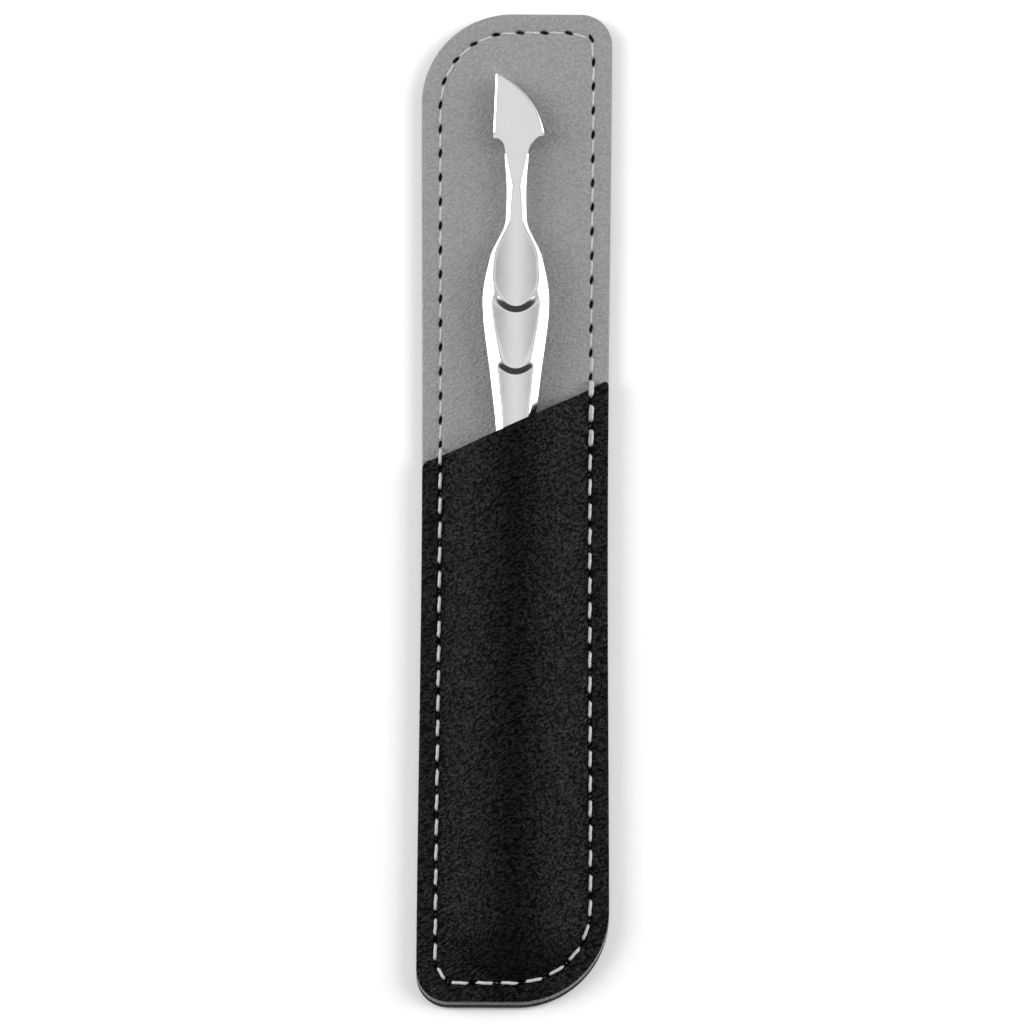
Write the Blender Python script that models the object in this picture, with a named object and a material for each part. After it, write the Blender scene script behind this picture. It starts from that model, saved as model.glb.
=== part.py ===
"""A cuticle pusher, ground from one steel bar, in its stitched leather sleeve.

Metres, +Z up. The sleeve lies on its back on z = 0, centred on the origin, with its foot at -Y.
The pusher lies in it along Y and is drawn out of the pocket's mouth towards +Y.
"""

import math

import bpy
from mathutils import Vector
from mathutils.geometry import delaunay_2d_cdt

# Sleeve outline
SLEEVE_LENGTH = 0.1382
SLEEVE_WIDTH = 0.0266
WAIST_DRAW = 0.0004  # each side draws in by this at mid-length
LARGE_CORNER = 0.0127  # top left and bottom right
SMALL_CORNER = 0.0044  # top right and bottom left
MOUTH_HEIGHT = 0.0811  # from the foot to the straight line between the mouth's ends, on the centre line
MOUTH_DIP = 0.0006  # the mouth's middle is drawn down from that line
MOUTH_ANGLE = math.radians(24.5)
MOUTH_CORNER = 0.0010  # the round at each end of the mouth

# Leather
COVER_THICKNESS = 0.0010
PANEL_THICKNESS = 0.0010
POCKET_THICKNESS = 0.0010
PLY_GAP = 0.00005
FOOT_STEP = 0.00045  # each ply stops this far short of the one behind it, along the foot

# Seam
SEAM_INSET = 0.0026  # from the pocket's edge
STITCH_PITCH = 0.0034
THREAD_DIAMETER = 0.0005
THREAD_CLEARANCE = 0.00006
THREAD_SIDES = 4
SLOT_LENGTH = 0.0015
DIP_REACH = 0.00045  # along the seam, from a hole's middle to where the thread lies flat
FRONT_GROOVE = 0.0003
GROOVE_SLOPE = 0.00025
LOCK_GAP = 0.0001  # between the two threads, where they meet in a hole
BACKTACK_BEFORE = 3  # stitches sewn twice below the mouth
BACKTACK_AFTER = 1  # and above it

# Pusher
PUSHER_LENGTH = 0.1235
PUSHER_FOOT = 0.00585  # from the sleeve's foot to the pusher's lower end
BAR_THICKNESS = 0.0056  # of the handle at its widest, before its faces are ground
PUSHER_CLEARANCE = 0.0001  # under the handle and over it

# Modelling steps
ARC_STEP = 0.0013
STRAIGHT_STEP = 0.009
BULGE_STEP_X = 0.0014
BULGE_STEP_Y = 0.0045
FILL_CLEARANCE = 0.001  # between the bulge's points and the seam
SEAM_STEP = 0.0002
MOUTH_END_ROUNDS = 6  # of finding where the mouth's line meets a side
SHARP_ANGLE = math.radians(35)

PANEL_BASE = COVER_THICKNESS + PLY_GAP
PANEL_TOP = PANEL_BASE + PANEL_THICKNESS
POCKET_BASE = PANEL_TOP + PLY_GAP
POCKET_TOP = POCKET_BASE + POCKET_THICKNESS
THREAD_RADIUS = THREAD_DIAMETER / 2
SLOT_HALF_WIDTH = THREAD_RADIUS + THREAD_CLEARANCE
LOCK_REACH = LOCK_GAP / 2 + THREAD_RADIUS
BACK_GROOVE = THREAD_DIAMETER + 2 * THREAD_CLEARANCE
POCKET_FOOT = 2 * FOOT_STEP
FOOT_Y = -SLEEVE_LENGTH / 2
MOUTH_Y = FOOT_Y + MOUTH_HEIGHT
BULGE_START = 0.0006  # from the seam to where the pocket leaves the panel
BULGE_REACH = SLEEVE_WIDTH / 2 - SEAM_INSET - BULGE_START
BULGE_END_REACH = 0.0091  # from the foot's seam to where the pocket is at its full height
BULGE_POWER = 1.25
BULGE_SQUARENESS = 2.2  # of its outline at the foot
PUSHER_TIP_Y = FOOT_Y + PUSHER_FOOT + PUSHER_LENGTH


# ---------------------------------------------------------------- shared helpers


def clear_scene():
    for obj in list(bpy.data.objects):
        bpy.data.objects.remove(obj, do_unlink=True)


def material(name, color, roughness, metallic=0.0):
    made = bpy.data.materials.new(name)
    made.use_nodes = True
    shader = made.node_tree.nodes["Principled BSDF"]
    shader.inputs["Base Color"].default_value = (*color, 1.0)
    shader.inputs["Roughness"].default_value = roughness
    shader.inputs["Metallic"].default_value = metallic
    return made


def add_object(name, points, faces, finish, origin, smooth_angle=None):
    """An object whose origin is at origin, from points in world space."""
    mesh = bpy.data.meshes.new(name)
    mesh.from_pydata([Vector(p) - Vector(origin) for p in points], [], faces)
    mesh.materials.append(finish)
    mesh.validate()
    mesh.update()
    if smooth_angle is not None:
        mesh.shade_smooth()
        mesh.set_sharp_from_angle(angle=smooth_angle)
    obj = bpy.data.objects.new(name, mesh)
    obj.location = origin
    bpy.context.scene.collection.objects.link(obj)
    return obj


def eased(value):
    """0 to 1 with level ends, for value from 0 to 1."""
    value = min(max(value, 0.0), 1.0)
    return value * value * (3.0 - 2.0 * value)


def curve_through(stations, at):
    """The height at a place on a smooth curve through (place, height) stations, without overshoot."""
    if at <= stations[0][0]:
        return stations[0][1]
    if at >= stations[-1][0]:
        return stations[-1][1]
    index = max(k for k in range(len(stations) - 1) if stations[k][0] <= at)
    slopes = [
        (b[1] - a[1]) / (b[0] - a[0]) for a, b in zip(stations, stations[1:])
    ]

    def tangent(k):
        if k == 0 or k == len(stations) - 1:
            return 0.0
        before, after = slopes[k - 1], slopes[k]
        return 0.0 if before * after <= 0 else 2 * before * after / (before + after)

    (start, low), (end, high) = stations[index], stations[index + 1]
    span = end - start
    share = (at - start) / span
    square, cube = share**2, share**3
    return (
        (2 * cube - 3 * square + 1) * low
        + (cube - 2 * square + share) * span * tangent(index)
        + (3 * square - 2 * cube) * high
        + (cube - square) * span * tangent(index + 1)
    )


# ---------------------------------------------------------------- sleeve outline


def drawn_in(x, y):
    """x after the sides have drawn in at mid-length."""
    return x * (1 - 2 * WAIST_DRAW / SLEEVE_WIDTH * math.cos(math.pi * y / SLEEVE_LENGTH) ** 2)


def corners_of(inset, foot):
    """(centre x, centre y, radius, start angle) of the corners, counter-clockwise from the bottom right."""
    half = SLEEVE_WIDTH / 2 - inset
    low, high = FOOT_Y + foot + inset, SLEEVE_LENGTH / 2 - inset
    large, small = LARGE_CORNER - inset, SMALL_CORNER - inset
    return [
        (half - large, low + large, large, -90),
        (half - small, high - small, small, 0),
        (large - half, high - large, large, 90),
        (small - half, low + small, small, 180),
    ]


def ply_outline(inset, foot, arc_step=ARC_STEP, straight_step=STRAIGHT_STEP):
    """The closed outline of a ply, counter-clockwise from the foot's right corner."""
    points = []
    for x, y, radius, start in corners_of(inset, foot):
        steps = max(4, math.ceil(radius * math.pi / 2 / arc_step))
        for k in range(steps + 1):
            angle = math.radians(start + 90 * k / steps)
            points.append((x + radius * math.cos(angle), y + radius * math.sin(angle)))
    dense = []
    for a, b in zip(points, points[1:] + points[:1]):
        runs = max(1, math.ceil(math.dist(a, b) / straight_step))
        dense += [
            (a[0] + (b[0] - a[0]) * k / runs, a[1] + (b[1] - a[1]) * k / runs)
            for k in range(runs)
        ]
    return [(drawn_in(x, y), y) for x, y in dense]


def mouth_y(x):
    middle = 1 - (2 * x / SLEEVE_WIDTH) ** 2
    return MOUTH_Y + x * math.tan(MOUTH_ANGLE) - MOUTH_DIP * middle


def below_mouth(x, y):
    return y < mouth_y(x)


def rounded_corner(before, corner, after, reach, steps=4):
    """Points of a round that starts and ends at reach from the corner."""
    first = Vector(corner) + (Vector(before) - Vector(corner)).normalized() * reach
    last = Vector(corner) + (Vector(after) - Vector(corner)).normalized() * reach
    points = []
    for k in range(steps + 1):
        u = k / steps
        points.append(tuple(first * (1 - u) ** 2 + Vector(corner) * 2 * u * (1 - u) + last * u * u))
    return points


def mouth_ends():
    """The left and right points where the mouth's line meets the sides."""
    ends = []
    for side in (-1, 1):
        x = side * SLEEVE_WIDTH / 2
        for _ in range(MOUTH_END_ROUNDS):
            x = drawn_in(side * SLEEVE_WIDTH / 2, mouth_y(x))
        ends.append((x, mouth_y(x)))
    return ends


def pocket_outline():
    """The pocket's closed outline, counter-clockwise."""
    left, right = mouth_ends()
    edge = ply_outline(0.0, POCKET_FOOT)
    margin = 2 * MOUTH_CORNER
    kept = [p[1] < (right if p[0] > 0 else left)[1] - margin for p in edge]
    start = next(k for k in range(len(edge)) if kept[k] and not kept[k - 1])
    edge = edge[start:] + edge[:start]
    edge = edge[: kept.count(True)]
    steps = math.ceil(math.dist(left, right) / BULGE_STEP_X)
    across = [right[0] + (left[0] - right[0]) * k / steps for k in range(1, steps)]
    mouth = [(x, mouth_y(x)) for x in across]
    mouth = [p for p in mouth if min(math.dist(p, left), math.dist(p, right)) > margin]
    return (
        edge
        + rounded_corner(edge[-1], right, mouth[0], MOUTH_CORNER)
        + mouth
        + rounded_corner(mouth[-1], left, edge[0], MOUTH_CORNER)
    )


def depth_inside(x, y, inset, foot):
    """How far a point is inside the outline of that inset, negative outside."""
    x = x / (drawn_in(1.0, y))
    corners = corners_of(inset, foot)
    half = SLEEVE_WIDTH / 2 - inset
    low, high = FOOT_Y + foot + inset, SLEEVE_LENGTH / 2 - inset
    depth = min(half - x, half + x, y - low, high - y)
    outward = [(1, -1), (1, 1), (-1, 1), (-1, -1)]
    for (cx, cy, radius, _), (sx, sy) in zip(corners, outward):
        if (x - cx) * sx > 0 and (y - cy) * sy > 0:
            depth = min(depth, radius - math.hypot(x - cx, y - cy))
    return depth


# ---------------------------------------------------------------- seam


def seam_holes():
    """The stitch holes, counter-clockwise from the mouth's right: (place, direction, under the pocket)."""
    path = ply_outline(SEAM_INSET, POCKET_FOOT, SEAM_STEP, SEAM_STEP)
    crossings = [
        k for k in range(len(path)) if below_mouth(*path[k - 1]) != below_mouth(*path[k])
    ]
    start = next(k for k in crossings if path[k][0] > 0)
    path = path[start:] + path[: start + 1]
    finish = next(k for k in range(1, len(path)) if below_mouth(*path[k]))
    holes = []
    for run, covered in ((path[: finish + 1], False), (path[finish:], True)):
        lengths = [0.0]
        for a, b in zip(run, run[1:]):
            lengths.append(lengths[-1] + math.dist(a, b))
        count = round(lengths[-1] / STITCH_PITCH)
        for k in range(count):
            wanted = (k + 0.5) * lengths[-1] / count
            index = next(i for i in range(1, len(run)) if lengths[i] >= wanted)
            holes.append((Vector(run[index]), covered))
    places = [place for place, _ in holes]
    found = []
    for k, (place, covered) in enumerate(holes):
        along = places[(k + 1) % len(places)] - places[k - 1]
        found.append((place, along.normalized(), covered))
    return found


def slot_corners(hole, half_width=SLOT_HALF_WIDTH):
    """The corners of a stitch hole, counter-clockwise from its near right corner."""
    place, along, _ = hole
    across = Vector((-along.y, along.x)) * half_width
    reach = along * SLOT_LENGTH / 2
    return [place - reach - across, place + reach - across, place + reach + across, place - reach + across]


def distance_to_seam(point, segments):
    best = SLEEVE_LENGTH
    for a, b in segments:
        span = b - a
        share = min(max((point - a).dot(span) / span.length_squared, 0.0), 1.0)
        best = min(best, (point - a - span * share).length)
    return best


def groove(x, y, segments, depth):
    """How deep the groove is at a point: level under the thread, and sloping up on each side."""
    away = distance_to_seam(Vector((x, y)), segments) - SLOT_HALF_WIDTH - THREAD_CLEARANCE
    return depth * min(max(1 - away / GROOVE_SLOPE, 0.0), 1.0)


# ---------------------------------------------------------------- plies


def channel_share(x, y):
    """How much of the bulge's full height is left at a place: 1 on the centre line, 0 near the seam."""
    aside = abs(x) / drawn_in(BULGE_REACH, y)
    above_seam = y - FOOT_Y - POCKET_FOOT - SEAM_INSET - BULGE_START
    below = max(1 - above_seam / BULGE_END_REACH, 0.0)
    share = min((aside**BULGE_SQUARENESS + below**BULGE_SQUARENESS) ** (1 / BULGE_SQUARENESS), 1.0)
    return (1 - share**2) ** BULGE_POWER


def pocket_rise(axis_z):
    """How far the pocket stands off the panel on the centre line, to clear the handle all the way along."""
    rise = 0.0
    for at in handle_places():
        for x, height in handle_row(at):
            needed = axis_z + height + PUSHER_CLEARANCE - POCKET_BASE
            rise = max(rise, needed / channel_share(x, 0.0))
    return rise


def inside_polygon(x, y, polygon):
    inside = False
    for (ax, ay), (bx, by) in zip(polygon, polygon[1:] + polygon[:1]):
        if (ay > y) != (by > y) and x < (bx - ax) * (y - ay) / (by - ay) + ax:
            inside = not inside
    return inside


def ply(name, outline, holes, grooved, fill, low, high, finish):
    """A sheet with stitch holes. low and high give its two faces' heights at (x, y)."""
    points = [Vector(p) for p in outline]
    edges = [(k, (k + 1) % len(outline)) for k in range(len(outline))]
    slots = []
    rims = []
    for hole in holes:
        first = len(points)
        slots.append([tuple(p) for p in slot_corners(hole)])
        points += slot_corners(hole)
        edges += [(first, first + 1), (first + 1, first + 2), (first + 2, first + 3), (first + 3, first)]
        rims.append(first)
    for hole, following in grooved:
        near, far = rims[hole], rims[following]
        edges += [(near + 1, far), (near + 2, far + 3)]
        for index, sign in ((1, -1), (2, 1)):
            across = Vector((-holes[hole][1].y, holes[hole][1].x)) * sign
            beyond = Vector((-holes[following][1].y, holes[following][1].x)) * sign
            reach = GROOVE_SLOPE + THREAD_CLEARANCE
            a = points[near + index] + across * reach
            b = points[far + 3 * (sign > 0)] + beyond * reach
            edges.append((len(points), len(points) + 1))
            points += [a, b]
    points += fill
    found, _, faces, *_ = delaunay_2d_cdt(points, edges, [], 0, 1e-9)
    kept = []
    for face in faces:
        x = sum(found[k].x for k in face) / 3
        y = sum(found[k].y for k in face) / 3
        if inside_polygon(x, y, outline) and not any(inside_polygon(x, y, s) for s in slots):
            kept.append(face)
    used = sorted({k for face in kept for k in face})
    place = {k: n for n, k in enumerate(used)}
    count = len(used)
    solid = [(found[k].x, found[k].y, high(found[k].x, found[k].y)) for k in used]
    solid += [(found[k].x, found[k].y, low(found[k].x, found[k].y)) for k in used]
    rim = {(a, b) for f in kept for a, b in zip(f, f[1:] + f[:1])}
    sides = [(a, b) for a, b in rim if (b, a) not in rim]
    shell = [tuple(place[k] for k in face) for face in kept]
    shell += [tuple(place[k] + count for k in reversed(face)) for face in kept]
    shell += [(place[b], place[a], place[a] + count, place[b] + count) for a, b in sorted(sides)]
    return add_object(name, solid, shell, finish, (0, 0, 0))


def neighbours(holes, wanted):
    """Pairs of following holes that are both of the wanted kind."""
    count = len(holes)
    return [
        (k, (k + 1) % count)
        for k in range(count)
        if wanted(holes[k]) and wanted(holes[(k + 1) % count])
    ]


def segments_of(holes, pairs):
    return [(holes[a][0], holes[b][0]) for a, b in pairs]


def pocket_fill(segments):
    """Points on the bulged part of the pocket, clear of the seam and the mouth."""
    rows = math.ceil((mouth_y(SLEEVE_WIDTH / 2) - FOOT_Y) / BULGE_STEP_Y)
    columns = math.ceil(SLEEVE_WIDTH / 2 / BULGE_STEP_X)
    points = []
    for row in range(rows + 1):
        for column in range(-columns, columns + 1):
            x, y = column * BULGE_STEP_X, FOOT_Y + row * BULGE_STEP_Y
            clear = mouth_y(x) - y > BULGE_STEP_X
            clear = clear and depth_inside(x, y, SEAM_INSET, POCKET_FOOT) > FILL_CLEARANCE
            if clear and distance_to_seam(Vector((x, y)), segments) > FILL_CLEARANCE:
                points.append(Vector((x, y)))
    return points


def build_back_cover(holes):
    """The sheet that lies on the table, with a groove in its outer face for the lower thread."""
    everywhere = neighbours(holes, lambda hole: True)
    segments = segments_of(holes, everywhere)
    return ply(
        "back_cover",
        ply_outline(0.0, 0.0),
        holes,
        everywhere,
        [],
        lambda x, y: groove(x, y, segments, BACK_GROOVE),
        lambda x, y: COVER_THICKNESS,
        material("black_leather_back", (0.055, 0.055, 0.058), 0.55),
    )


def build_inner_panel(holes):
    """The grey sheet behind the pusher, grooved where no pocket covers it."""
    bare = neighbours(holes, lambda hole: not hole[2])
    segments = segments_of(holes, bare)
    return ply(
        "inner_panel",
        ply_outline(0.0, FOOT_STEP),
        holes,
        bare,
        [],
        lambda x, y: PANEL_BASE,
        lambda x, y: PANEL_TOP - groove(x, y, segments, FRONT_GROOVE),
        material("grey_leather", (0.30, 0.30, 0.31), 0.6),
    )


def build_front_pocket(holes, rise):
    """The sheet over the pusher, bulged over its handle and open at the slanting mouth."""
    covered = [hole for hole in holes if hole[2]]
    pairs = [(k, k + 1) for k in range(len(covered) - 1)]
    segments = segments_of(covered, pairs)
    return ply(
        "front_pocket",
        pocket_outline(),
        covered,
        pairs,
        pocket_fill(segments),
        lambda x, y: POCKET_BASE + rise * channel_share(x, y),
        lambda x, y: POCKET_TOP + rise * channel_share(x, y) - groove(x, y, segments, FRONT_GROOVE),
        material("black_leather_front", (0.012, 0.012, 0.013), 0.5),
    )


# ---------------------------------------------------------------- threads


def tube(name, rings, closed, finish):
    """A thread through rings of (place, direction), as one body."""
    points = []
    for place, along in rings:
        side = Vector((-along.y, along.x, 0)).normalized()
        up = along.cross(side).normalized()
        for k in range(THREAD_SIDES):
            angle = 2 * math.pi * (k + 0.5) / THREAD_SIDES
            points.append(place + (side * math.cos(angle) + up * math.sin(angle)) * THREAD_RADIUS)
    count = len(rings)
    faces = []
    for row in range(count if closed else count - 1):
        here, there = row * THREAD_SIDES, (row + 1) % count * THREAD_SIDES
        for k in range(THREAD_SIDES):
            following = (k + 1) % THREAD_SIDES
            faces.append((here + k, there + k, there + following, here + following))
    if not closed:
        faces.append(tuple(range(THREAD_SIDES)))
        faces.append(tuple(reversed(range((count - 1) * THREAD_SIDES, count * THREAD_SIDES))))
    faces = [face[::-1] for face in faces]
    return add_object(name, points, faces, finish, (0, 0, 0))


def stitch_rings(hole, following, hole_z, surface_z):
    """A stitch: the bottom of its first hole, and the two ends of the stretch that lies on the leather."""
    along = (following[0] - hole[0]).normalized()
    flat = Vector((along.x, along.y, 0))
    drop = surface_z - hole_z
    tilt = Vector((0, 0, math.copysign(math.tan(math.atan2(abs(drop), DIP_REACH) / 2), drop)))
    start = (hole[0] + along * DIP_REACH).to_3d() + Vector((0, 0, surface_z))
    end = (following[0] - along * DIP_REACH).to_3d() + Vector((0, 0, surface_z))
    bottom = hole[0].to_3d() + Vector((0, 0, hole_z))
    level = Vector((hole[1].x, hole[1].y, 0))
    return [(bottom, level), (start, (flat + tilt).normalized()), (end, (flat - tilt).normalized())]


def lock_height(hole):
    """Where the two threads meet: half way through the plies."""
    return (POCKET_TOP if hole[2] else PANEL_TOP) / 2


def build_upper_thread(holes, finish):
    """The thread on the front, sewn twice where it crosses the mouth's right end."""
    count = len(holes)
    rings = []
    for k in range(-BACKTACK_BEFORE, count + BACKTACK_AFTER):
        hole, following = holes[k % count], holes[(k + 1) % count]
        covered = hole[2] or following[2]
        lie = (POCKET_TOP if covered else PANEL_TOP) - FRONT_GROOVE + THREAD_CLEARANCE + THREAD_RADIUS
        if hole[2] != following[2]:
            lie = POCKET_TOP + THREAD_CLEARANCE + THREAD_RADIUS
        bottom = lock_height(hole) + LOCK_REACH
        if k >= count - BACKTACK_BEFORE:
            lie = POCKET_TOP - FRONT_GROOVE + THREAD_RADIUS + 3 * THREAD_CLEARANCE + THREAD_DIAMETER
            bottom = lie - THREAD_RADIUS
        rings += stitch_rings(hole, following, bottom, lie)
    return tube("upper_thread", rings, False, finish)


def build_lower_thread(holes, finish):
    """The thread on the back, in one closed round."""
    rings = []
    lie = THREAD_CLEARANCE + THREAD_RADIUS
    for k, hole in enumerate(holes):
        rings += stitch_rings(hole, holes[(k + 1) % len(holes)], lock_height(hole) - LOCK_REACH, lie)
    return tube("lower_thread", rings, True, finish)


# ---------------------------------------------------------------- pusher

# Places along the pusher are distances from the blade's tip.
TIP_FLAT = 0.0001  # the blade's tip is blunt by this
BLADE_END = 0.00905
BLADE_HALF_THICKNESS = 0.0005
BLADE_RISE = 0.077  # the slope at which the blade's flat thickens into the neck
BLADE_EDGE = 0.0004
CUTTING_BEVEL = 0.0003
BELLY_RADIUS = 0.0109
BELLY_CENTRE = (-0.00693, 0.01013)  # across, along
BELLY_END = 0.0086
BARB_STEP = 0.00013
BARB_PLACES = (0.0094, 0.0098, 0.0104)
LEFT_EDGE = (-0.00291, -0.00327)  # at the tip and at the blade's end
NECK_START = 0.0111
LEFT_BARB = [(BLADE_END, -0.00247), (0.0096, -0.00194), (0.0104, -0.00166), (NECK_START, -0.0016)]
RIGHT_BARB = [(BELLY_END + BARB_STEP, 0.00315), (0.00937, 0.00241), (0.0102, 0.00182), (NECK_START, 0.0016)]
HALF_WIDTH = [
    (NECK_START, 0.0016),
    (0.0165, 0.00134),
    (0.0203, 0.00144),
    (0.0215, 0.00175),
    (0.0226, 0.00224),
    (0.0257, 0.0036),
    (0.0317, 0.00458),
    (0.0428, 0.0034),
    (0.0502, 0.0026),
    (PUSHER_LENGTH / 2, 0.0021),
]
BAR_HALF = [
    (NECK_START, 0.0014),
    (0.0150, 0.0013),
    (0.0205, 0.00125),
    (0.0257, 0.0022),
    (0.0317, BAR_THICKNESS / 2),
    (0.0407, 0.0024),
    (0.0485, 0.00205),
    (PUSHER_LENGTH / 2, 0.00175),
]
SIDE_HALF = [
    (NECK_START, 0.00066),
    (0.0165, 0.00045),
    (0.0205, 0.00045),
    (0.0257, 0.00092),
    (0.0317, 0.0010),
    (0.0407, 0.00086),
    (0.0485, 0.00074),
    (PUSHER_LENGTH / 2, 0.00063),
]
SHOULDER_SLOPE = 0.88
CROWN_DROP = 0.75
CHANNEL_BOTTOM = 0.0195
CHANNEL_HALF = 0.00082
SCOOP_RATE = 9.5  # per metre, the scoop's curvature towards the first petal's end
CHANNEL_RATE = 15.0
FIRST_HEIGHT = 0.0025
FIRST_PETAL = (0.0267, 0.0031, 0.00585, 2.0)  # centre, half-width, reach and squareness of its end
SECOND_PETAL = (0.0330, 0.0039, 0.00815, 2.0)
SECOND_LEVEL = (0.0324, 0.00166, 0.050)  # place, height and slope of the ground face
THIRD_LEVEL = (PUSHER_LENGTH / 2, 0.00112, -0.022)
PETAL_WALL = 0.0010
WALL_SPREAD = 0.9  # how much wider a petal's wall is at its sides
HOLLOW_GRIND = 30.0  # per metre, how hollow the ground faces are across
HOLLOW_START = 0.014
HOLLOW_END = 0.024
SPOON_LENGTH = 0.0150
SPOON_HALF_WIDTH = 0.0032
SPOON_HALF_THICKNESS = 0.00036
SPOON_HOLLOW = 0.00016
SPOON_BEND = 0.0240  # the length over which the lower end bends back
SPOON_END_PLACES = (0.00002, 0.0004)
ROW_STEP = 0.0011
LEAST_ROW_STEP = 0.00002
HALF_COLUMNS = 9


def blade_sides(at):
    """The blade's left and right edges."""
    if at <= BLADE_END:
        share = at / BLADE_END
        left = LEFT_EDGE[0] * (1 - share) + LEFT_EDGE[1] * share
    else:
        left = curve_through(LEFT_BARB, at)
    if at <= BELLY_END:
        right = BELLY_CENTRE[0] + math.sqrt(BELLY_RADIUS**2 - (BELLY_CENTRE[1] - at) ** 2)
    else:
        right = curve_through(RIGHT_BARB, at)
    return left, right


def outside_petal(across, at, petal):
    """How far down a petal's wall a point is: 0 at its top, 1 at its foot and negative on the petal."""
    centre, half_width, reach, power = petal
    u, v = abs(across) / half_width, max(at - centre, 0.0) / reach
    size = (u**power + v**power) ** (1 / power)
    if size == 0:
        return -half_width / PETAL_WALL
    wall = PETAL_WALL * (1 + WALL_SPREAD * u**2)
    return (size - 1) * math.hypot(u * half_width, v * reach) / size / wall


def ground_height(across, at):
    """The height of the ground faces on the front of the pusher's upper half."""
    blade = BLADE_HALF_THICKNESS + BLADE_RISE * max(at - BLADE_END, 0.0)
    rate = SCOOP_RATE if at > CHANNEL_BOTTOM else CHANNEL_RATE
    first = min(blade, CHANNEL_HALF + rate * (at - CHANNEL_BOTTOM) ** 2, FIRST_HEIGHT)
    second = SECOND_LEVEL[1] + SECOND_LEVEL[2] * (at - SECOND_LEVEL[0])
    third = THIRD_LEVEL[1] + THIRD_LEVEL[2] * (at - THIRD_LEVEL[0])
    lower = second + (third - second) * eased(outside_petal(across, at, SECOND_PETAL))
    hollow = HOLLOW_GRIND * across**2 * eased((at - HOLLOW_START) / (HOLLOW_END - HOLLOW_START))
    return first + (lower - first) * eased(outside_petal(across, at, FIRST_PETAL)) + hollow


def bar_height(across, half_width, bar_half, side_half):
    """The bar's own front surface: a crown, slanting shoulders and flat sides."""
    crown = bar_half * math.sqrt(1 - CROWN_DROP * (across / half_width) ** 2)
    return min(crown, side_half + SHOULDER_SLOPE * (half_width - abs(across)))


def across_places():
    """Places across the pusher, from 1 to -1, closer together near its sides."""
    return [math.cos(math.pi * k / HALF_COLUMNS) for k in range(HALF_COLUMNS + 1)]


def blade_row(at):
    """(x, height) across the blade and its barbs."""
    left, right = blade_sides(at)
    flat = ground_height(0.0, at)
    row = []
    for across in across_places():
        x = (left + right) / 2 + (right - left) / 2 * across
        slope = (BLADE_HALF_THICKNESS - BLADE_EDGE) / CUTTING_BEVEL
        bevel = BLADE_EDGE + slope * min(x - left, right - x)
        row.append((x, min(flat, bevel) if at < BELLY_END else flat))
    return row


def handle_row(at):
    """(x, height) across the handle and its necks, which are the same from both ends."""
    at = min(at, PUSHER_LENGTH - at)
    half_width = curve_through(HALF_WIDTH, at)
    bar_half = curve_through(BAR_HALF, at)
    side_half = curve_through(SIDE_HALF, at)
    row = []
    for across in across_places():
        x = half_width * across
        row.append((x, min(bar_height(x, half_width, bar_half, side_half), ground_height(x, at))))
    return row


def spoon_row(from_end):
    """(x, height) across the spoon."""
    neck = handle_row(SPOON_LENGTH)
    share = eased((from_end - SPOON_HALF_WIDTH) / (SPOON_LENGTH - SPOON_HALF_WIDTH))
    half_width = SPOON_HALF_WIDTH + (neck[0][0] - SPOON_HALF_WIDTH) * share
    if from_end < SPOON_HALF_WIDTH:
        half_width = math.sqrt(SPOON_HALF_WIDTH**2 - (SPOON_HALF_WIDTH - from_end) ** 2)
    row = []
    for across, (_, neck_height) in zip(across_places(), neck):
        thicker = (neck_height - SPOON_HALF_THICKNESS) * share**2
        row.append((half_width * across, SPOON_HALF_THICKNESS + thicker))
    return row


def handle_places():
    """Places along the handle, between the blade and the spoon."""
    steps = math.ceil((PUSHER_LENGTH - SPOON_LENGTH - NECK_START) / ROW_STEP)
    return [NECK_START + (PUSHER_LENGTH - SPOON_LENGTH - NECK_START) * k / steps for k in range(steps + 1)]


def handle_height():
    """The greatest height of the handle's faces above its axis."""
    return max(height for at in handle_places() for _, height in handle_row(at))


def section(at):
    """The outline of the pusher at one place, front face first, before its lower end bends back."""
    from_end = PUSHER_LENGTH - at
    if at < NECK_START:
        row = blade_row(at)
    elif from_end < SPOON_LENGTH:
        row = spoon_row(from_end)
    else:
        row = handle_row(at)
    dish = SPOON_HOLLOW * eased((SPOON_LENGTH - from_end) / SPOON_LENGTH)
    front = [(x, height - dish * (1 - across**2)) for across, (x, height) in zip(across_places(), row)]
    return front + [(x, -height) for x, height in reversed(row)]


def section_places():
    """Places of the pusher's cross-sections, closer together at the barbs and the two ends."""
    steps = math.ceil(PUSHER_LENGTH / ROW_STEP)
    places = [PUSHER_LENGTH * k / steps for k in range(1, steps)]
    places += [TIP_FLAT, BELLY_END, BELLY_END + BARB_STEP, BLADE_END, BLADE_END + LEAST_ROW_STEP]
    places += BARB_PLACES
    places += [PUSHER_LENGTH - from_end for from_end in SPOON_END_PLACES]
    places.sort()
    spaced = places[:1]
    for at in places[1:]:
        if at - spaced[-1] >= LEAST_ROW_STEP:
            spaced.append(at)
    return spaced


def build_pusher(axis_z, finish):
    places = section_places()
    drop = handle_height() - SPOON_HALF_THICKNESS
    points = []
    for at in places:
        y = PUSHER_TIP_Y - at
        z = axis_z - drop * eased((at - PUSHER_LENGTH + SPOON_BEND) / SPOON_BEND)
        points += [(x, y, z + height) for x, height in section(at)]
    around = 2 * (HALF_COLUMNS + 1)
    faces = []
    for row in range(len(places) - 1):
        for k in range(around):
            following = (k + 1) % around
            here, there = row * around, (row + 1) * around
            faces.append((here + k, here + following, there + following, there + k))
    faces.append(tuple(reversed(range(around))))
    faces.append(tuple(range((len(places) - 1) * around, len(places) * around)))
    origin = (0, FOOT_Y + PUSHER_FOOT, axis_z)
    return add_object("pusher", points, faces, finish, origin, SHARP_ANGLE)


# ---------------------------------------------------------------- assembly


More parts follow.
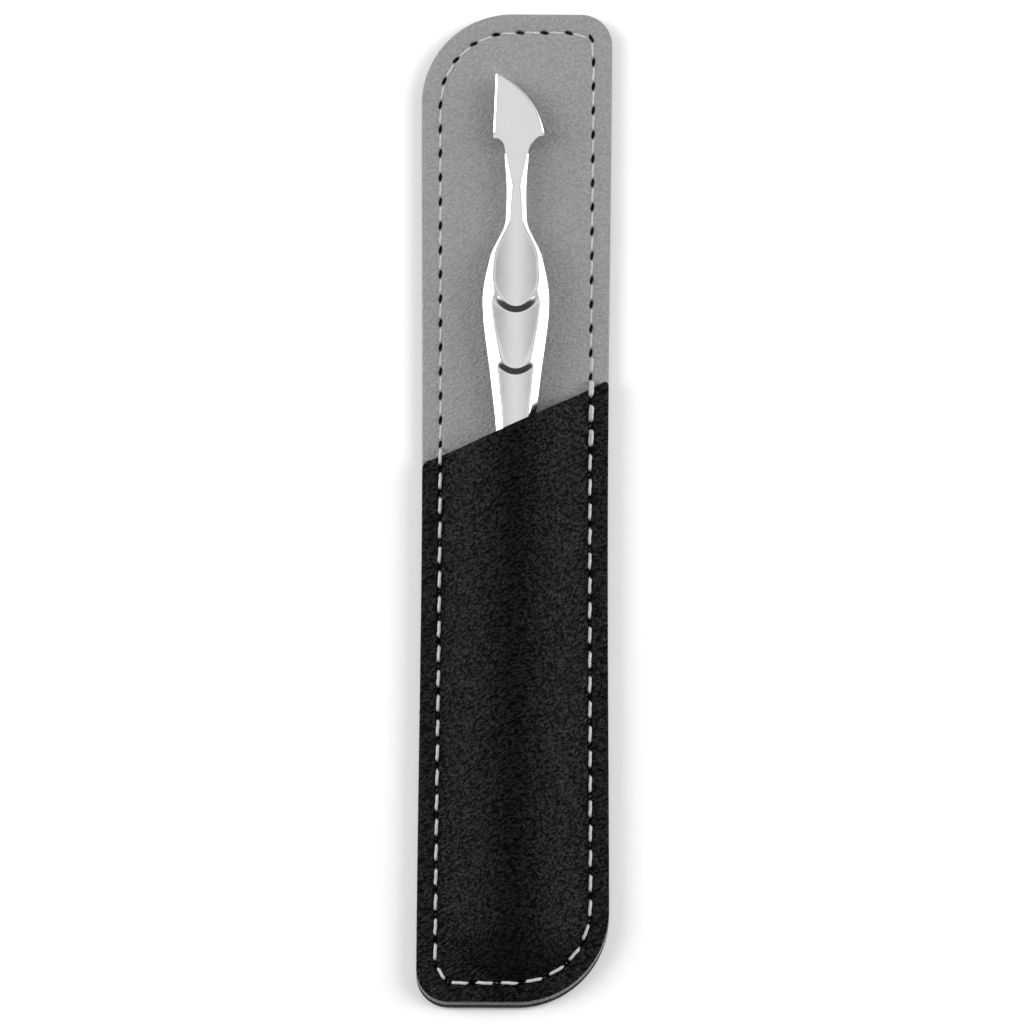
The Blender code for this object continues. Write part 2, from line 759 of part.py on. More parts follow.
def main():
    clear_scene()
    axis_z = PANEL_TOP + PUSHER_CLEARANCE + handle_height()
    holes = seam_holes()
    build_back_cover(holes)
    build_inner_panel(holes)
    build_front_pocket(holes, pocket_rise(axis_z))
    thread = material("light_thread", (0.60, 0.62, 0.62), 0.7)
    build_upper_thread(holes, thread)
    build_lower_thread(holes, thread)
    build_pusher(axis_z, material("polished_steel", (0.80, 0.81, 0.82), 0.15, 1.0))


main()
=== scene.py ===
"""The looks of a cuticle pusher in its stitched leather sleeve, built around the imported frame."""
import math

import bpy
import numpy as np
from mathutils import Matrix, Vector
from mathutils.geometry import delaunay_2d_cdt


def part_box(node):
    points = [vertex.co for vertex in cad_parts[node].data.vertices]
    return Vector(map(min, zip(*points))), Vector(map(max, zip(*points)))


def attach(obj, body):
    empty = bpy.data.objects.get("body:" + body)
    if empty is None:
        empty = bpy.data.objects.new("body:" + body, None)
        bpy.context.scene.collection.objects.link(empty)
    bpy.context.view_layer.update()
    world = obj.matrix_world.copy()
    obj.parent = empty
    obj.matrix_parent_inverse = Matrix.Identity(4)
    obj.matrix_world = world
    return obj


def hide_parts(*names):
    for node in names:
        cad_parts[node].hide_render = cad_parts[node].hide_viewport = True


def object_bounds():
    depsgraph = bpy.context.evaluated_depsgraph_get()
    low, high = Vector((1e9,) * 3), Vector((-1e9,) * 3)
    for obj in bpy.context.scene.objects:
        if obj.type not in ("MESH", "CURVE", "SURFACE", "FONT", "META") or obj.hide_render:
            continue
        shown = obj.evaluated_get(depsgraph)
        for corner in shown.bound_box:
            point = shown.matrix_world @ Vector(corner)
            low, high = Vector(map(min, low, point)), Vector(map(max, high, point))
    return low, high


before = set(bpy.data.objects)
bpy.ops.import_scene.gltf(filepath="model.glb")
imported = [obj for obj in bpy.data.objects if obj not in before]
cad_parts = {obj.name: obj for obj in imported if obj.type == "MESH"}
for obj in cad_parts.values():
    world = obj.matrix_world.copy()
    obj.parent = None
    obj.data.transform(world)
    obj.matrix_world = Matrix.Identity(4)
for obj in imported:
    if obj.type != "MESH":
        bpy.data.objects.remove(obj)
cad_low, cad_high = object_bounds()

MM = 0.001

# ---------------------------------------------------------------- sizes, from the frame

cover_low, cover_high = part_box("back_cover")
panel_low, panel_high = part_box("inner_panel")
pocket_low, pocket_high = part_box("front_pocket")
_, pusher_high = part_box("pusher")

LENGTH = cover_high.y - cover_low.y
HALF_WIDTH = cad_high.x
WIDTH = 2 * HALF_WIDTH
FOOT_Y, TOP_Y = cover_low.y, cover_high.y
FOOT_STEP = panel_low.y - FOOT_Y
POCKET_FOOT = pocket_low.y - FOOT_Y
COVER_TOP = cover_high.z
PANEL_BASE, PANEL_TOP = panel_low.z, panel_high.z
POCKET_BASE = pocket_low.z
LEATHER = COVER_TOP - cover_low.z
POCKET_TOP = POCKET_BASE + LEATHER
BULGE_RISE = pocket_high.z - POCKET_TOP

# Outline of the leather
WAIST_DRAW = 0.4 * MM
LARGE_CORNER = 12.7 * MM
SMALL_CORNER = 4.4 * MM
MOUTH_SLOPE = math.tan(math.radians(24.5))
MOUTH_Y = FOOT_Y + 81.1 * MM
MOUTH_DIP = 0.6 * MM
MOUTH_CORNER = 1.0 * MM

# Sheets
OUTLINE_STEP = 0.25 * MM
EDGE_ROUND = 0.22 * MM
EDGE_RINGS = (0.015 * MM, 0.05 * MM, 0.10 * MM, 0.16 * MM, 0.22 * MM, 0.40 * MM)
FILL_STEP = 0.55 * MM
HIDDEN_STEP = 3.0 * MM
POCKET_HIDDEN_STEP = 1.1 * MM
SHEET_SHARP, PUSHER_SHARP = 50, 30  # degrees, over which an edge is drawn sharp
PANEL_PUFF, PANEL_WAVE = 0.025 * MM, 2.6 * MM
POCKET_PUFF, POCKET_WAVE = 0.06 * MM, 3.4 * MM
BACK_DENT = 0.48 * MM

# Seam
SEAM_INSET = 2.6 * MM
STITCH_PITCH = 3.4 * MM
BULGE_START = 0.6 * MM
BULGE_REACH = HALF_WIDTH - SEAM_INSET - BULGE_START
BULGE_END_REACH = 9.1 * MM
BULGE_POWER = 1.25
BULGE_SQUARENESS = 2.2
SLOT_HALF_LENGTH = 0.66 * MM
SLOT_HALF_WIDTH = 0.26 * MM
SLOT_SLANT = math.radians(-9)
SLOT_DEPTH = 0.5 * MM
SLOT_RINGS = (0.35, 0.7, 0.9, 1.0, 1.12, 1.45)
RING_CLEARANCE = 0.2  # from a hole's last ring to the groove's points, as a share of the hole
SLOT_SIDES = 14
GROOVE_DEPTH = 0.13 * MM
GROOVE_HALF_WIDTH = 0.5 * MM
GROOVE_LANES = (-0.75 * MM, -0.5 * MM, -0.3 * MM, -0.13 * MM, 0.0, 0.13 * MM, 0.3 * MM, 0.5 * MM, 0.75 * MM)
GROOVE_STEP = 0.28 * MM


# ---------------------------------------------------------------- outline


def side_factor(y):
    return 1 - 2 * WAIST_DRAW / WIDTH * np.cos(np.pi * y / LENGTH) ** 2


def smooth_step(value):
    value = np.clip(value, 0, 1)
    return value * value * (3 - 2 * value)


def mouth_y(x):
    return MOUTH_Y + x * MOUTH_SLOPE - MOUTH_DIP * (1 - (x / HALF_WIDTH) ** 2)


def corners_of(inset, foot):
    """(centre x, centre y, radius, start angle) of the corners, counter-clockwise from the bottom right."""
    half, low, high = HALF_WIDTH - inset, FOOT_Y + foot + inset, TOP_Y - inset
    large, small = LARGE_CORNER - inset, SMALL_CORNER - inset
    return (
        (half - large, low + large, large, -90),
        (half - small, high - small, small, 0),
        (large - half, high - large, large, 90),
        (small - half, low + small, small, 180),
    )


def lengths_along(points):
    return np.concatenate([[0], np.cumsum(np.hypot(*np.diff(points, axis=0).T))])


def ply_path(inset, foot, step):
    """The outline of a ply at an inset, counter-clockwise from the foot's right, as even points."""
    points = []
    for cx, cy, radius, start in corners_of(inset, foot):
        for angle in np.radians(np.linspace(start, start + 90, 90)):
            points.append((cx + radius * math.cos(angle), cy + radius * math.sin(angle)))
    points = np.array(points + points[:1])
    lengths = lengths_along(points)
    at = np.linspace(0, lengths[-1], math.ceil(lengths[-1] / step), endpoint=False)
    x, y = np.interp(at, lengths, points[:, 0]), np.interp(at, lengths, points[:, 1])
    return np.stack([x * side_factor(y), y], axis=1)


def depth_inside(x, y, inset, foot):
    """How far points are inside the sleeve's outline at that inset, negative outside."""
    x = x / side_factor(y)
    half, low, high = HALF_WIDTH - inset, FOOT_Y + foot + inset, TOP_Y - inset
    depth = np.minimum(np.minimum(half - x, half + x), np.minimum(y - low, high - y))
    for (cx, cy, radius, _), (sx, sy) in zip(corners_of(inset, foot), ((1, -1), (1, 1), (-1, 1), (-1, -1))):
        near = ((x - cx) * sx > 0) & ((y - cy) * sy > 0)
        depth = np.where(near, np.minimum(depth, radius - np.hypot(x - cx, y - cy)), depth)
    return depth


def corner_round(before, corner, after):
    """Points of a round at a corner of the mouth."""
    first = corner + (before - corner) / np.linalg.norm(before - corner) * MOUTH_CORNER
    last = corner + (after - corner) / np.linalg.norm(after - corner) * MOUTH_CORNER
    u = np.linspace(0, 1, 9)[:, None]
    return first * (1 - u) ** 2 + corner * 2 * u * (1 - u) + last * u * u


def pocket_path():
    """The pocket's outline, counter-clockwise from the mouth's left end."""
    path = ply_path(0.0, POCKET_FOOT, OUTLINE_STEP)
    below = path[:, 1] < mouth_y(path[:, 0])
    start = next(k for k in range(len(path)) if below[k] and not below[k - 1])
    path = np.roll(path, -start, axis=0)[: int(below.sum())]
    left, right = path[0], path[-1]
    x = np.linspace(right[0], left[0], math.ceil(WIDTH / OUTLINE_STEP))
    mouth = np.stack([x, mouth_y(x)], axis=1)
    margin = 1.05 * MOUTH_CORNER
    side = path[(np.hypot(*(path - left).T) > margin) & (np.hypot(*(path - right).T) > margin)]
    mouth = mouth[(np.hypot(*(mouth - left).T) > margin) & (np.hypot(*(mouth - right).T) > margin)]
    rounds = corner_round(side[-1], right, mouth[0]), corner_round(mouth[-1], left, side[0])
    return np.concatenate([side, rounds[0], mouth, rounds[1]])


def bulge(x, y):
    """How far the pocket stands off the panel."""
    aside = np.abs(x) / side_factor(y) / BULGE_REACH
    above = y - FOOT_Y - POCKET_FOOT - SEAM_INSET - BULGE_START
    below = np.maximum(1 - above / BULGE_END_REACH, 0)
    share = np.minimum((aside**BULGE_SQUARENESS + below**BULGE_SQUARENESS) ** (1 / BULGE_SQUARENESS), 1)
    return BULGE_RISE * (1 - share**2) ** BULGE_POWER


# ---------------------------------------------------------------- seam


def seam_holes():
    """Places, directions, and whether under the pocket, from the mouth's right end up and round."""
    path = ply_path(SEAM_INSET, POCKET_FOOT, 0.05 * MM)
    below = path[:, 1] < mouth_y(path[:, 0])
    start = next(k for k in range(len(path)) if below[k - 1] and not below[k])
    path, below = np.roll(path, -start, axis=0), np.roll(below, -start)
    path = np.vstack([path, path[:1]])
    finish = int(np.argmax(below))
    places, covered = [], []
    for run, hidden in ((path[: finish + 1], False), (path[finish:], True)):
        lengths = lengths_along(run)
        count = round(lengths[-1] / STITCH_PITCH)
        at = (np.arange(count) + 0.5) * lengths[-1] / count
        places += list(zip(np.interp(at, lengths, run[:, 0]), np.interp(at, lengths, run[:, 1])))
        covered += [hidden] * count
    places = np.array(places)
    along = np.roll(places, -1, axis=0) - np.roll(places, 1, axis=0)
    along /= np.linalg.norm(along, axis=1)[:, None]
    return places, along, np.array(covered)


HOLES, ALONG, COVERED = seam_holes()
HOLE_COUNT = len(HOLES)


def slot_axis(k):
    """The direction of a stitch hole's long side, which slants a little off the seam."""
    sine, cosine = math.sin(SLOT_SLANT), math.cos(SLOT_SLANT)
    return np.array([ALONG[k, 0] * cosine - ALONG[k, 1] * sine, ALONG[k, 0] * sine + ALONG[k, 1] * cosine])


def slot_size(points, k):
    """How far points are from a hole's middle, with 1 at its rim."""
    ax, ay = slot_axis(k)
    dx, dy = points[:, 0] - HOLES[k, 0], points[:, 1] - HOLES[k, 1]
    return np.hypot((dx * ax + dy * ay) / SLOT_HALF_LENGTH, (dy * ax - dx * ay) / SLOT_HALF_WIDTH)


def segment_distance(points, k):
    """How far points are from the stitch that starts at hole k."""
    start, span = HOLES[k], HOLES[(k + 1) % HOLE_COUNT] - HOLES[k]
    share = np.clip((points - start) @ span / (span @ span), 0, 1)
    return np.linalg.norm(points - start - share[:, None] * span, axis=1)


def seam_marks(x, y, chosen):
    """(inside a stitch hole, in the groove between two) at each point, from 0 to 1."""
    points = np.stack([x, y], axis=1)
    pits, line = np.zeros(len(x)), np.zeros(len(x))
    for k in np.flatnonzero(chosen):
        near = np.flatnonzero(np.abs(points - HOLES[k]).max(axis=1) < STITCH_PITCH)
        pits[near] = np.maximum(pits[near], 1 - smooth_step((slot_size(points[near], k) - 0.55) / 0.6))
        if chosen[(k + 1) % HOLE_COUNT]:
            away = segment_distance(points[near], k) / GROOVE_HALF_WIDTH
            line[near] = np.maximum(line[near], np.exp(-(away**2)))
    return pits, line


# ---------------------------------------------------------------- leather sheets


def moved_in(outline, reach):
    ahead = np.roll(outline, -1, axis=0) - np.roll(outline, 1, axis=0)
    ahead /= np.linalg.norm(ahead, axis=1)[:, None]
    return outline + np.stack([-ahead[:, 1], ahead[:, 0]], axis=1) * reach


def hexagonal(step):
    """Points of an even grid over the whole sleeve."""
    rows = np.arange(FOOT_Y, TOP_Y, step * math.sqrt(3) / 2)
    columns = np.arange(-HALF_WIDTH, HALF_WIDTH, step)
    x = columns[None, :] + step / 2 * (np.arange(len(rows)) % 2)[:, None]
    y = np.repeat(rows[:, None], len(columns), axis=1)
    return np.stack([x.ravel(), y.ravel()], axis=1)


def seam_points(chosen):
    """Points round each stitch hole and along the groove between two."""
    found = []
    angles = np.linspace(0, 2 * np.pi, SLOT_SIDES, endpoint=False)
    for k in np.flatnonzero(chosen):
        axis = slot_axis(k) * SLOT_HALF_LENGTH
        across = np.array([-axis[1], axis[0]]) / SLOT_HALF_LENGTH * SLOT_HALF_WIDTH
        found.append(HOLES[k][None, :])
        for ring in SLOT_RINGS:
            turned = np.cos(angles)[:, None] * axis + np.sin(angles)[:, None] * across
            found.append(HOLES[k] + ring * turned)
        following = (k + 1) % HOLE_COUNT
        if not chosen[following]:
            continue
        span = HOLES[following] - HOLES[k]
        length = np.linalg.norm(span)
        side = np.array([-span[1], span[0]]) / length
        share = np.linspace(0, 1, round(length / GROOVE_STEP), endpoint=False)
        lanes = np.concatenate([HOLES[k] + share[:, None] * span + side * lane for lane in GROOVE_LANES])
        clear = np.minimum(slot_size(lanes, k), slot_size(lanes, following)) > SLOT_RINGS[-1] + RING_CLEARANCE
        found.append(lanes[clear])
    return np.concatenate(found)


def triangulated(outline, points, inside):
    """(points, triangles) that fill a closed outline. inside says which middles of triangles are in it."""
    everything = np.concatenate([outline, points])
    edges = [(k, (k + 1) % len(outline)) for k in range(len(outline))]
    found, _, faces, *_ = delaunay_2d_cdt([Vector(p) for p in everything.tolist()], edges, [], 0, 1e-9)
    found = np.array([tuple(p) for p in found])
    faces = np.array(faces)
    middles = found[faces].mean(axis=1)
    return found, faces[inside(middles[:, 0], middles[:, 1]) > 0]


def sheet_faces(outline, inside, chosen, step):
    """The fine face of a ply: rings along its cut edge, points round the seam, and an even fill."""
    rings = np.concatenate([moved_in(outline, reach) for reach in EDGE_RINGS])
    seam = seam_points(chosen)
    fill = hexagonal(step)
    fill = fill[inside(fill[:, 0], fill[:, 1]) > EDGE_RINGS[-1] + 0.4 * step]
    clear = np.ones(len(fill), bool)
    for k in np.flatnonzero(chosen):
        near = np.flatnonzero(np.abs(fill - HOLES[k]).max(axis=1) < 2 * STITCH_PITCH)
        if chosen[(k + 1) % HOLE_COUNT]:
            clear[near] &= segment_distance(fill[near], k) > GROOVE_LANES[-1] + 0.3 * step
        clear[near] &= np.linalg.norm(fill[near] - HOLES[k], axis=1) > 1.8 * SLOT_HALF_LENGTH
    return triangulated(outline, np.concatenate([rings, seam, fill[clear]]), inside)


def mesh_object(name, points, faces, sharp):
    mesh = bpy.data.meshes.new(name)
    mesh.from_pydata(points.tolist(), [], faces)
    mesh.validate()
    mesh.update()
    mesh.shade_smooth()
    mesh.set_sharp_from_angle(angle=math.radians(sharp))
    obj = bpy.data.objects.new(name, mesh)
    bpy.context.scene.collection.objects.link(obj)
    return obj


def shell(name, outline, inside, chosen, fine, plain, hidden_step=HIDDEN_STEP, fine_below=False):
    """A closed ply. fine gives (height, share of painted hole shade) of its outer face and plain the height
    of its hidden one.
    """
    near, near_faces = sheet_faces(outline, inside, chosen, FILL_STEP)
    grid = hexagonal(hidden_step)
    grid = grid[inside(grid[:, 0], grid[:, 1]) > 0.6 * hidden_step]
    far, far_faces = triangulated(outline, grid, inside)
    height, hole_shade = fine(near[:, 0], near[:, 1])
    points = np.concatenate(
        [np.column_stack([near, height]), np.column_stack([far, plain(far[:, 0], far[:, 1])])]
    )
    count, rim = len(near), np.arange(len(outline))
    following = np.roll(rim, -1)
    sides = np.stack([following, rim, rim + count, following + count], axis=1)
    if fine_below:
        near_faces, sides = near_faces[:, ::-1], sides[:, ::-1]
    else:
        far_faces = far_faces[:, ::-1]
    faces = near_faces.tolist() + (far_faces + count).tolist() + sides.tolist()
    obj = mesh_object(name, points, faces, SHEET_SHARP)
    values = np.concatenate([hole_shade, np.zeros(len(far))])
    # The attribute says how much painted shade each point gets for lying in a stitch hole.
    obj.data.attributes.new("hole_shade", "FLOAT", "POINT").data.foreach_set("value", values)
    return obj


def wavy(x, y, scale, seed):
    """Slow unevenness from -1 to 1, the same each run."""
    wave = np.zeros_like(x)
    for k in range(5):
        angle, phase = 1.7 * k + seed, 2.3 * k * seed + k
        wave += np.sin((x * math.cos(angle) + y * math.sin(angle)) / scale * (1 + 0.37 * k) + phase)
    return wave / 5


def rounded(depth):
    """How far a face drops near its cut edge."""
    into = np.clip(depth, 0, EDGE_ROUND)
    return EDGE_ROUND - np.sqrt(np.maximum(EDGE_ROUND**2 - (EDGE_ROUND - into) ** 2, 0))


def back_cover():
    chosen = np.ones(HOLE_COUNT, bool)

    def inside(x, y):
        return depth_inside(x, y, 0.0, 0.0)

    def fine(x, y):
        pits, line = seam_marks(x, y, chosen)
        dents = BACK_DENT * np.maximum(line, pits)
        return cover_low.z + rounded(inside(x, y)) + dents, pits

    def plain(x, y):
        return np.full_like(x, COVER_TOP)

    outline = ply_path(0.0, 0.0, OUTLINE_STEP)
    return shell("cover_leather", outline, inside, chosen, fine, plain, fine_below=True)


def inner_panel():
    def inside(x, y):
        return depth_inside(x, y, 0.0, FOOT_STEP)

    def fine(x, y):
        depth = inside(x, y)
        pits, line = seam_marks(x, y, ~COVERED)
        puff = PANEL_PUFF * wavy(x, y, PANEL_WAVE, 1.3) * np.clip(depth / MM, 0, 1)
        high = PANEL_TOP - rounded(depth) - SLOT_DEPTH * pits - GROOVE_DEPTH * line + puff
        return np.minimum(high, PANEL_TOP), pits

    def plain(x, y):
        return np.full_like(x, PANEL_BASE)

    return shell("panel_leather", ply_path(0.0, FOOT_STEP, OUTLINE_STEP), inside, ~COVERED, fine, plain)


def front_pocket():
    def inside(x, y):
        below_mouth = (mouth_y(x) - y) * math.cos(math.atan(MOUTH_SLOPE))
        return np.minimum(depth_inside(x, y, 0.0, POCKET_FOOT), below_mouth)

    def fine(x, y):
        depth = inside(x, y)
        pits, line = seam_marks(x, y, COVERED)
        rise = bulge(x, y)
        puff = POCKET_PUFF * wavy(x, y, POCKET_WAVE, 2.1) * np.clip(rise / MM, 0, 1)
        high = POCKET_TOP + rise + puff - rounded(depth) - SLOT_DEPTH * pits - GROOVE_DEPTH * line
        return high, pits

    def plain(x, y):
        return POCKET_BASE + bulge(x, y)

    return shell("pocket_leather", pocket_path(), inside, COVERED, fine, plain, POCKET_HIDDEN_STEP)


# ---------------------------------------------------------------- materials

WRINKLE_TURN = math.radians(-35)
WRINKLE_STRETCH = 1.5
RIDGE_SHARPNESS = 6.0
RIDGE_SHARE, FINE_SHARE, PEBBLE_SHARE = 0.22, 0.55, 0.7
CREASE, CREST = 0.70, 1.20  # heights of the relief where the painted crease shade is darkest and the painted crest highlight lightest
SHINY_CREST = 1.15
CREASE_SHINE, CREST_SHINE = 0.4, 1.35
CROWN_START, CROWN_END = 1 * MM, 8 * MM  # from the centre line, where the leather is dullest and shiniest


class Nodes:
    """A short way to write a node tree."""

    def __init__(self, name):
        self.material = bpy.data.materials.new(name)
        self.material.use_nodes = True
        self.tree = self.material.node_tree
        self.shader = self.tree.nodes["Principled BSDF"]
        self.place = self.add("ShaderNodeTexCoord").outputs["Object"]

    def connect(self, socket, value):
        if isinstance(value, bpy.types.NodeSocket):
            self.tree.links.new(value, socket)
        else:
            socket.default_value = value

    def add(self, kind, links=None, **settings):
        node = self.tree.nodes.new(kind)
        for key, value in settings.items():
            setattr(node, key, value)
        for key, value in (links or {}).items():
            self.connect(node.inputs[key], value)
        return node

    def math(self, operation, *values):
        return self.add("ShaderNodeMath", dict(enumerate(values)), operation=operation).outputs[0]

    def noise(self, scale, detail=3.0, roughness=0.5, place=None):
        links = {"Vector": place or self.place, "Scale": scale, "Detail": detail, "Roughness": roughness}
        return self.add("ShaderNodeTexNoise", links).outputs["Fac"]

    def span(self, value, low, high, to_low=0.0, to_high=1.0):
        links = {0: value, 1: low, 2: high, 3: to_low, 4: to_high}
        return self.add("ShaderNodeMapRange", links).outputs[0]

    def mix(self, share, first, second):
        node = self.add("ShaderNodeMix", data_type="RGBA")
        for index, value in ((0, share), (6, first), (7, second)):
            self.connect(node.inputs[index], value)
        return node.outputs[2]

    def set(self, name, value):
        self.connect(self.shader.inputs[name], value)


def leather(name, dark, light, grain, height, roughness, specular, edge, hole, crown=1.0):
    """Wrinkled synthetic leather, with painted shade in its creases and stitch holes and a painted highlight
    on its crests. crown is the share of its shine at mid-width.
    """
    n = Nodes(name)
    turned = n.add("ShaderNodeMapping", {"Vector": n.place, "Rotation": (0, 0, WRINKLE_TURN)}).outputs[0]
    drawn = n.add("ShaderNodeMapping", {"Vector": turned, "Scale": (1.0, WRINKLE_STRETCH, 1.0)}).outputs[0]
    bends = {"Vector": n.place, "Scale": 0.5 / grain, "Detail": 1.0}
    bend = n.add("ShaderNodeTexNoise", bends).outputs["Color"]
    bend = n.add("ShaderNodeVectorMath", {0: bend, "Scale": 0.8 * grain}, operation="SCALE").outputs[0]
    bent = n.add("ShaderNodeVectorMath", {0: drawn, 1: bend}, operation="ADD").outputs[0]
    coarse = n.noise(0.62 / grain, 2.0, 0.55, bent)
    ridge = n.math("ABSOLUTE", n.math("SUBTRACT", coarse, 0.5))
    ridge = n.math("MAXIMUM", 0.0, n.math("SUBTRACT", 1.0, n.math("MULTIPLY", ridge, RIDGE_SHARPNESS)))
    pebbles = {"Vector": bent, "Scale": 1.15 / grain, "Smoothness": 0.5}
    cells = n.add("ShaderNodeTexVoronoi", pebbles, feature="SMOOTH_F1").outputs["Distance"]
    pebble = n.math("SUBTRACT", 1.0, n.math("POWER", cells, 1.6))
    fine = n.noise(1.5 / grain, 1.0, 0.5, drawn)
    slow = n.noise(0.10 / grain, 3.0, 0.5)
    surface = n.math("ADD", n.math("MULTIPLY", ridge, RIDGE_SHARE), n.math("MULTIPLY", fine, FINE_SHARE))
    surface = n.math("ADD", surface, n.math("MULTIPLY", pebble, PEBBLE_SHARE))
    bump = n.add("ShaderNodeBump", {"Strength": 1.0, "Distance": height, "Height": surface})
    n.set("Normal", bump.outputs[0])
    # Painted shade and highlight: the colour is darker in the relief's creases and lighter on its crests.
    relief_shade_light = n.span(surface, CREASE, CREST)
    color = n.mix(relief_shade_light, (*dark, 1), (*light, 1))
    hole_shade = n.add("ShaderNodeAttribute", attribute_name="hole_shade").outputs["Fac"]
    # Painted shade in the stitch holes: the colour goes to the near-black hole colour there.
    color = n.mix(n.span(hole_shade, 0.25, 0.5), color, (*hole, 1))
    normal = n.add("ShaderNodeNewGeometry").outputs["Normal"]
    up = n.add("ShaderNodeSeparateXYZ", {0: normal}).outputs[2]
    cut = n.span(n.math("ABSOLUTE", up), 0.30, 0.12)
    n.set("Base Color", n.mix(cut, color, (*edge, 1)))
    n.set("Roughness", n.span(surface, 0.5, 1.1, roughness + 0.10, roughness))
    aside = n.math("ABSOLUTE", n.add("ShaderNodeSeparateXYZ", {0: n.place}).outputs[0])
    aside = n.math("ADD", aside, n.math("MULTIPLY", slow, 2 * MM))
    shine = n.span(aside, CROWN_START, CROWN_END, crown * specular, specular)
    creased = n.span(surface, CREASE, SHINY_CREST, CREASE_SHINE, CREST_SHINE)
    n.set("Specular IOR Level", n.math("MULTIPLY", shine, creased))
    return n.material


def thread_material():
    n = Nodes("light_thread")
    fibre = n.noise(5200.0, 3.0, 0.6)
    n.set("Base Color", n.mix(n.span(fibre, 0.3, 0.7), (0.36, 0.372, 0.372, 1), (0.56, 0.572, 0.572, 1)))
    n.set("Roughness", 0.65)
    n.set("Sheen Weight", 0.2)
    bump = n.add("ShaderNodeBump", {"Strength": 0.5, "Distance": 0.04 * MM, "Height": fibre})
    n.set("Normal", bump.outputs[0])
    return n.material


def steel_material():
    n = Nodes("polished_steel")
    along = n.add("ShaderNodeMapping", {"Vector": n.place, "Scale": (1.0, 0.06, 1.0)}).outputs[0]
    brushed = n.noise(9000.0, 4.0, 0.6, along)
    cloudy = n.noise(420.0, 3.0, 0.5)
    n.set("Base Color", n.mix(n.span(cloudy, 0.3, 0.7), (0.86, 0.865, 0.87, 1), (0.91, 0.915, 0.92, 1)))
    n.set("Metallic", 1.0)
    n.set("Roughness", n.span(n.math("ADD", brushed, cloudy), 0.6, 1.4, 0.12, 0.22))
    bump = n.add("ShaderNodeBump", {"Strength": 0.25, "Distance": 0.004 * MM, "Height": brushed})
    n.set("Normal", bump.outputs[0])
    return n.material


# ---------------------------------------------------------------- threads

THREAD_RADIUS = 0.22 * MM
SUNK_RADIUS = 0.16 * MM  # where it is pulled into the grey leather
THREAD_SIDES = 10
THREAD_STEPS = 22
TWISTS_PER_STITCH = 2.6
LOBES = 3
LOBE_DEPTH = 0.10
DIVE = 0.85 * MM  # how far the thread goes under the leather's face at a hole
DIVE_START, DIVE_END = 0.46 * MM, 0.98 * MM  # from the hole's middle
THREAD_SLANT = 0.10 * MM
BACKTACK_BEFORE, BACKTACK_AFTER = 3, 1
BACKTACK_RISE, BACKTACK_ASIDE = 0.12 * MM, 0.24 * MM  # of the second pass, from the first
POCKET_LIE = 0.05 * MM  # the thread's middle line over the pocket's face
MOUTH_LIE = 0.22 * MM  # and where it crosses the mouth's edge
PANEL_SINK, PANEL_SAG = 0.03 * MM, 0.15 * MM  # under the panel's face near a hole, and the more at mid-stitch
BACK_LIE, BACK_DIVE = 0.3 * MM, 0.8 * MM  # over the sleeve's underside, lying and in a hole


def twisted_tube(name, path, radius, turns, closed):
    """A twisted thread along a path of points."""
    ahead = np.roll(path, -1, axis=0) - np.roll(path, 1, axis=0)
    if not closed:
        ahead[0], ahead[-1] = path[1] - path[0], path[-1] - path[-2]
    ahead /= np.linalg.norm(ahead, axis=1)[:, None]
    side = np.stack([-ahead[:, 1], ahead[:, 0], np.zeros(len(path))], -1)
    side /= np.linalg.norm(side, axis=1)[:, None]
    up = np.cross(ahead, side)
    angles = 2 * np.pi * np.arange(THREAD_SIDES) / THREAD_SIDES
    around = radius[:, None] * (1 + LOBE_DEPTH * np.cos(LOBES * (angles[None, :] - turns[:, None])))
    points = (
        path[:, None, :]
        + side[:, None, :] * (around * np.cos(angles))[:, :, None]
        + up[:, None, :] * (around * np.sin(angles))[:, :, None]
    )
    index = np.arange(len(path) * THREAD_SIDES).reshape(len(path), THREAD_SIDES)
    ends = [] if closed else [tuple(index[0, ::-1]), tuple(index[-1])]
    if closed:
        index = np.concatenate([index, index[:1]])
    turned = np.roll(index, -1, axis=1)
    faces = np.stack([index[:-1], turned[:-1], turned[1:], index[1:]], -1).reshape(-1, 4).tolist()
    return mesh_object(name, points.reshape(-1, 3), faces + ends, 80)


def stitch_line(indices, lie_of, face_of, radius_of):
    """(points, radii, turns) of a thread that lies between holes and dives into each."""
    path, radii, turns = [], [], []
    for n, k in enumerate(indices):
        following = (k + 1) % HOLE_COUNT
        span = HOLES[following] - HOLES[k]
        length = np.linalg.norm(span)
        across = np.array([-span[1], span[0]]) / length
        for step in range(THREAD_STEPS):
            share = step / THREAD_STEPS
            from_hole = min(share, 1 - share) * length
            lying = float(smooth_step((from_hole - DIVE_START) / (DIVE_END - DIVE_START)))
            bottom = face_of(k if share < 0.5 else following) - DIVE
            lie, aside, sag = lie_of(n, k)
            lie -= sag * math.sin(math.pi * share) ** 2
            x, y = HOLES[k] + span * share + across * lying * (THREAD_SLANT * (1 - 2 * share) + aside)
            path.append((x, y, bottom + (lie - bottom) * lying))
            radii.append(radius_of(k))
            turns.append((n + share) * TWISTS_PER_STITCH * 2 * math.pi / LOBES)
    return np.array(path), np.array(radii), np.array(turns)


